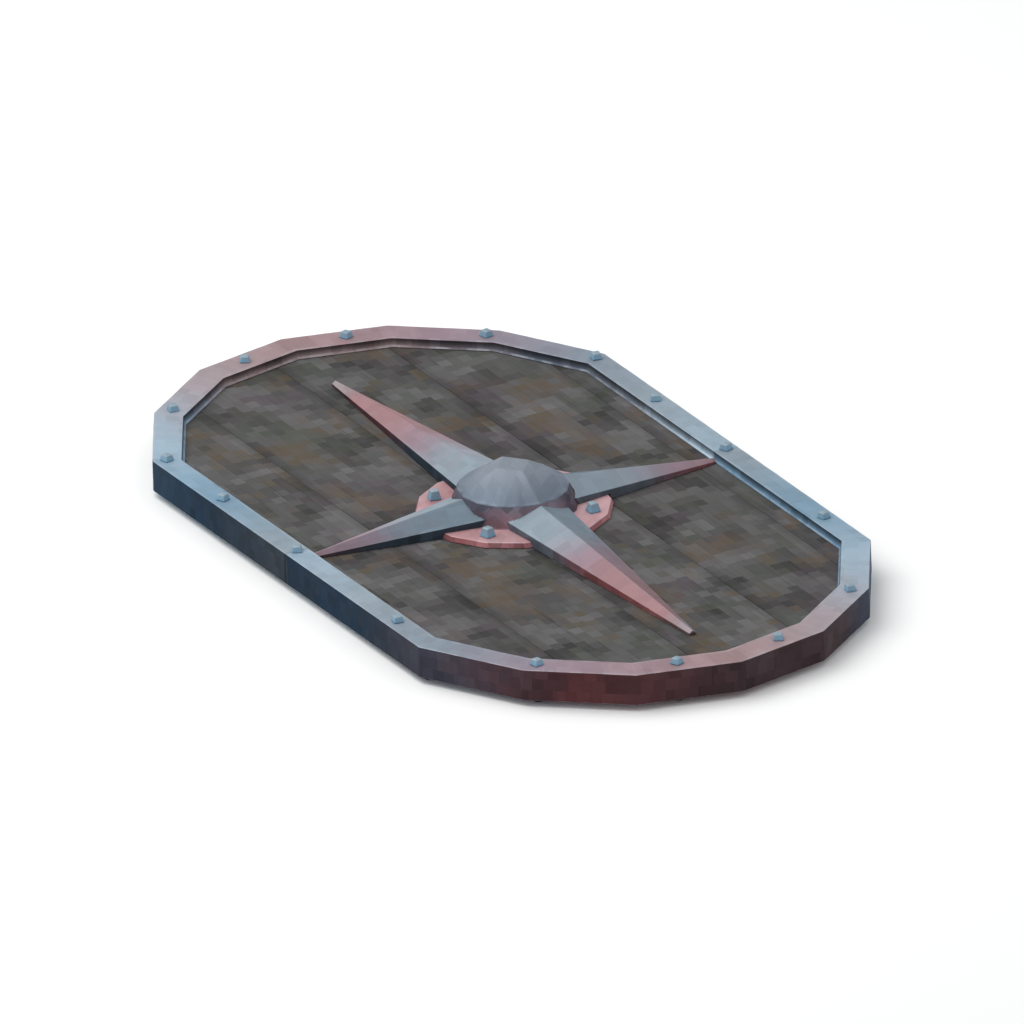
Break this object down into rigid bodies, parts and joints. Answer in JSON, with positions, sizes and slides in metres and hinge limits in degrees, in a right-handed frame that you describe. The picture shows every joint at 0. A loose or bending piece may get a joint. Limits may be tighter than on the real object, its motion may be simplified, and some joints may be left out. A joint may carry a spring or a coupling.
{
  "type": "tower shield",
  "caption": "Tall plank shield with an iron rim, a domed boss with four ridged rays, square-headed rivets and a wooden grip behind.",
  "frame": {"origin": "centre of the shield's outline, on the surface it lies on: the level of the flat tops of the back rivets", "axes": "+Z out of the shield's face, +Y to its head end along the long side, +X to its right side as the face is seen"},
  "size_m": [0.6, 1.13, 0.0941],
  "materials": {
    "rim_iron": "blued and weathered forged sheet iron",
    "boss_iron": "blued and weathered forged sheet iron",
    "ray_iron": "blued forged iron, rosy heat colours to the tips",
    "rivet_iron": "blued iron, rubbed brighter on the heads",
    "plank_wood": "dark weathered oak, dry",
    "grip_wood": "handled ash, oiled by use"
  },
  "bodies": {
    "root": {"rim_head": "rim_iron", "rim_foot": "rim_iron", "plank_1": "plank_wood", "plank_2": "plank_wood", "plank_3": "plank_wood", "plank_4": "plank_wood", "plank_5": "plank_wood", "boss": "boss_iron", "ray_head": "ray_iron", "ray_foot": "ray_iron", "ray_right": "ray_iron", "ray_left": "ray_iron", "boss_rivet_1": "rivet_iron", "boss_rivet_2": "rivet_iron", "boss_rivet_3": "rivet_iron", "boss_rivet_4": "rivet_iron", "face_rivet_01": "rivet_iron", "face_rivet_02": "rivet_iron", "face_rivet_03": "rivet_iron", "face_rivet_04": "rivet_iron", "face_rivet_05": "rivet_iron", "face_rivet_06": "rivet_iron", "face_rivet_07": "rivet_iron", "face_rivet_08": "rivet_iron", "face_rivet_09": "rivet_iron", "face_rivet_10": "rivet_iron", "face_rivet_11": "rivet_iron", "face_rivet_12": "rivet_iron", "face_rivet_13": "rivet_iron", "face_rivet_14": "rivet_iron", "face_rivet_15": "rivet_iron", "face_rivet_16": "rivet_iron", "back_rivet_01": "rivet_iron", "back_rivet_02": "rivet_iron", "back_rivet_03": "rivet_iron", "back_rivet_04": "rivet_iron", "back_rivet_05": "rivet_iron", "back_rivet_06": "rivet_iron", "back_rivet_07": "rivet_iron", "back_rivet_08": "rivet_iron", "back_rivet_09": "rivet_iron", "back_rivet_10": "rivet_iron", "back_rivet_11": "rivet_iron", "back_rivet_12": "rivet_iron", "back_rivet_13": "rivet_iron", "back_rivet_14": "rivet_iron", "back_rivet_15": "rivet_iron", "back_rivet_16": "rivet_iron", "grip_rivet_left": "rivet_iron", "grip_rivet_right": "rivet_iron", "grip": "grip_wood"}
  },
  "joints": []
}
